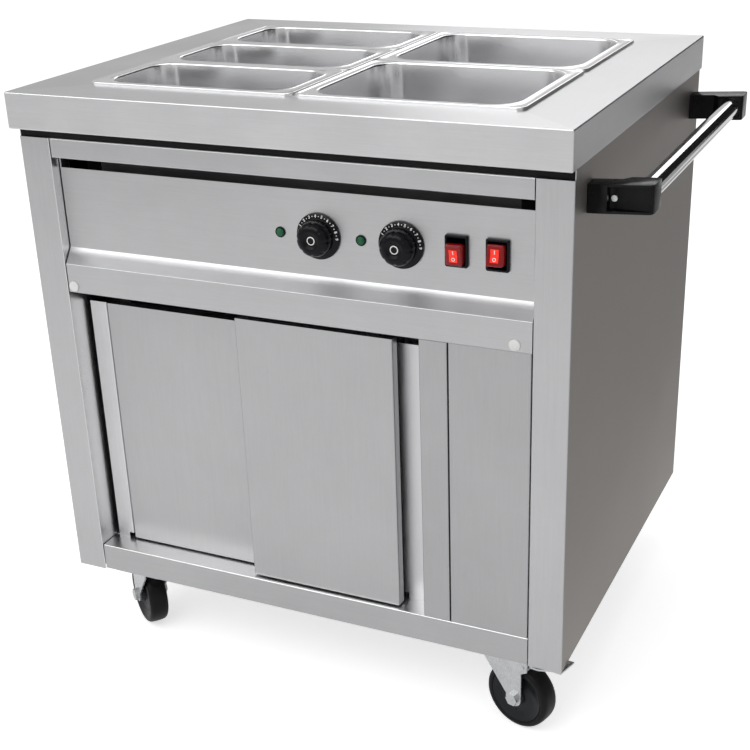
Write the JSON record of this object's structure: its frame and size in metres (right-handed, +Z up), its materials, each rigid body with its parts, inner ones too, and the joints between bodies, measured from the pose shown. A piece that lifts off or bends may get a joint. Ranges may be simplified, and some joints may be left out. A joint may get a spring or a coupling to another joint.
{
  "type": "hostess trolley",
  "caption": "Stainless steel wet-well hostess trolley with food pans over a hot cupboard with sliding doors, a control panel, a side push handle and braked swivel castors.",
  "frame": {"origin": "middle of the whole trolley's footprint, on the floor", "axes": "+X to the right towards the push handle, +Y from the control panel to the back, +Z up"},
  "size_m": [0.9114, 0.69, 0.909],
  "materials": {
    "brushed_stainless": "brushed satin",
    "polished_stainless": "polished, softly reflecting",
    "inner_stainless": "mill finish",
    "mineral_wool": "fibrous mat",
    "black_rubber": "matt",
    "white_plastic": "glossy",
    "copper": "drawn tube",
    "black_cable": "matt",
    "black_plastic": "fine texture, slight sheen",
    "green_lens": "translucent lens",
    "red_lens": "translucent lens",
    "red_plastic": "dipped",
    "chrome": "mirror",
    "zinc_plate": "bright zinc plate",
    "wheel_rubber": "matt rubber on a dark grey hub"
  },
  "bodies": {
    "cabinet": {"worktop": "brushed_stainless", "pan_support_bars": "polished_stainless", "water_well": "inner_stainless", "well_insulation": "mineral_wool", "well_element": "inner_stainless", "side_panel_left": "brushed_stainless", "side_panel_right": "brushed_stainless", "back_panel": "brushed_stainless", "base_tray": "brushed_stainless", "base_frame": "inner_stainless", "top_seal_strip": "black_rubber", "control_fascia": "brushed_stainless", "fascia_screw_caps": "white_plastic", "door_post": "brushed_stainless", "service_panel": "brushed_stainless", "door_jambs": "brushed_stainless", "door_tracks": "inner_stainless", "cupboard_liner": "brushed_stainless", "cupboard_ceiling": "brushed_stainless", "cupboard_shelf": "brushed_stainless", "shelf_runners": "brushed_stainless", "cupboard_element": "inner_stainless", "thermostat_bodies": "inner_stainless", "thermostat_bulbs": "copper", "terminal_block": "white_plastic", "wiring_loom": "black_cable", "power_inlet": "black_plastic", "indicator_lamps": "green_lens", "switch_bodies": "black_plastic", "drain_pipe": "inner_stainless", "handle_tube": "chrome", "handle_bracket_front": "black_plastic", "handle_bracket_rear": "black_plastic", "handle_screws": "zinc_plate", "castor_plates": "zinc_plate", "castor_bolts": "zinc_plate"},
    "front_door_body": {"front_door": "brushed_stainless", "front_door_glides": "black_plastic"},
    "rear_door_body": {"rear_door": "brushed_stainless", "rear_door_glides": "black_plastic"},
    "dial_left_body": {"dial_left": "black_plastic"},
    "dial_right_body": {"dial_right": "black_plastic"},
    "rocker_left_body": {"rocker_left": "red_lens"},
    "rocker_right_body": {"rocker_right": "red_lens"},
    "pan_left_front_body": {"pan_left_front": "polished_stainless"},
    "pan_left_middle_body": {"pan_left_middle": "polished_stainless"},
    "pan_left_rear_body": {"pan_left_rear": "polished_stainless"},
    "pan_right_front_body": {"pan_right_front": "polished_stainless"},
    "pan_right_rear_body": {"pan_right_rear": "polished_stainless"},
    "drain_lever_body": {"drain_lever": "red_plastic"},
    "castor_fork_front_left_body": {"castor_fork_front_left": "zinc_plate"},
    "castor_fork_front_right_body": {"castor_fork_front_right": "zinc_plate"},
    "castor_fork_rear_left_body": {"castor_fork_rear_left": "zinc_plate"},
    "castor_fork_rear_right_body": {"castor_fork_rear_right": "zinc_plate"},
    "castor_wheel_front_left_body": {"castor_wheel_front_left": "wheel_rubber"},
    "castor_wheel_front_right_body": {"castor_wheel_front_right": "wheel_rubber"},
    "castor_wheel_rear_left_body": {"castor_wheel_rear_left": "wheel_rubber"},
    "castor_wheel_rear_right_body": {"castor_wheel_rear_right": "wheel_rubber"},
    "brake_pedal_left_body": {"brake_pedal_left": "zinc_plate"},
    "brake_pedal_right_body": {"brake_pedal_right": "zinc_plate"}
  },
  "joints": [
    {"name": "front_door_slide", "type": "slide", "parent": "cabinet", "child": "front_door_body", "axis": [1, 0, 0], "range_m": [-0.215, 0.04]},
    {"name": "rear_door_slide", "type": "slide", "parent": "cabinet", "child": "rear_door_body", "axis": [1, 0, 0], "range_m": [0, 0.192]},
    {"name": "dial_left_turn", "type": "hinge", "parent": "cabinet", "child": "dial_left_body", "pos_m": [0.01325, -0.309, 0.731], "axis": [0, 1, 0], "range_deg": [0, 270]},
    {"name": "rocker_left_tip", "type": "hinge", "parent": "cabinet", "child": "rocker_left_body", "pos_m": [0.21225, -0.305, 0.731], "axis": [1, 0, 0], "range_deg": [-18, 0]},
    {"name": "dial_right_turn", "type": "hinge", "parent": "cabinet", "child": "dial_right_body", "pos_m": [0.13425, -0.309, 0.731], "axis": [0, 1, 0], "range_deg": [0, 270]},
    {"name": "rocker_right_tip", "type": "hinge", "parent": "cabinet", "child": "rocker_right_body", "pos_m": [0.26825, -0.305, 0.731], "axis": [1, 0, 0], "range_deg": [0, 18]},
    {"name": "pan_left_front_lift", "type": "slide", "parent": "cabinet", "child": "pan_left_front_body", "axis": [0, 0, 1], "range_m": [0, 0.25]},
    {"name": "pan_left_middle_lift", "type": "slide", "parent": "cabinet", "child": "pan_left_middle_body", "axis": [0, 0, 1], "range_m": [0, 0.25]},
    {"name": "pan_left_rear_lift", "type": "slide", "parent": "cabinet", "child": "pan_left_rear_body", "axis": [0, 0, 1], "range_m": [0, 0.25]},
    {"name": "pan_right_front_lift", "type": "slide", "parent": "cabinet", "child": "pan_right_front_body", "axis": [0, 0, 1], "range_m": [0, 0.25]},
    {"name": "pan_right_rear_lift", "type": "slide", "parent": "cabinet", "child": "pan_right_rear_body", "axis": [0, 0, 1], "range_m": [0, 0.25]},
    {"name": "drain_lever_turn", "type": "hinge", "parent": "cabinet", "child": "drain_lever_body", "pos_m": [0.2605, 0, 0.107], "axis": [1, 0, 0], "range_deg": [0, 90]},
    {"name": "castor_front_left_swivel", "type": "hinge", "parent": "cabinet", "child": "castor_fork_front_left_body", "pos_m": [-0.34675, -0.275, 0.1187], "axis": [0, 0, 1], "continuous": true},
    {"name": "wheel_front_left_roll", "type": "hinge", "parent": "castor_fork_front_left_body", "child": "castor_wheel_front_left_body", "pos_m": [-0.37512, -0.25284, 0.053], "axis": [-0.6157, -0.788, 0], "continuous": true},
    {"name": "castor_front_right_swivel", "type": "hinge", "parent": "cabinet", "child": "castor_fork_front_right_body", "pos_m": [0.26525, -0.275, 0.1187], "axis": [0, 0, 1], "continuous": true},
    {"name": "wheel_front_right_roll", "type": "hinge", "parent": "castor_fork_front_right_body", "child": "castor_wheel_front_right_body", "pos_m": [0.29985, -0.28492, 0.053], "axis": [0.2756, 0.9613, 0], "continuous": true},
    {"name": "castor_rear_left_swivel", "type": "hinge", "parent": "cabinet", "child": "castor_fork_rear_left_body", "pos_m": [-0.34675, 0.2905, 0.1187], "axis": [0, 0, 1], "continuous": true},
    {"name": "wheel_rear_left_roll", "type": "hinge", "parent": "castor_fork_rear_left_body", "child": "castor_wheel_rear_left_body", "pos_m": [-0.31292, 0.30281, 0.053], "axis": [-0.342, 0.9397, 0], "continuous": true},
    {"name": "castor_rear_right_swivel", "type": "hinge", "parent": "cabinet", "child": "castor_fork_rear_right_body", "pos_m": [0.26525, 0.2905, 0.1187], "axis": [0, 0, 1], "continuous": true},
    {"name": "wheel_rear_right_roll", "type": "hinge", "parent": "castor_fork_rear_right_body", "child": "castor_wheel_rear_right_body", "pos_m": [0.23142, 0.30281, 0.053], "axis": [-0.342, -0.9397, 0], "continuous": true},
    {"name": "brake_pedal_left_press", "type": "hinge", "parent": "castor_fork_front_left_body", "child": "brake_pedal_left_body", "pos_m": [-0.38773, -0.24299, 0.1127], "axis": [-0.6157, -0.788, 0], "range_deg": [0, 20]},
    {"name": "brake_pedal_right_press", "type": "hinge", "parent": "castor_fork_front_right_body", "child": "brake_pedal_right_body", "pos_m": [0.31524, -0.28933, 0.1127], "axis": [0.2756, 0.9613, 0], "range_deg": [0, 20]}
  ]
}
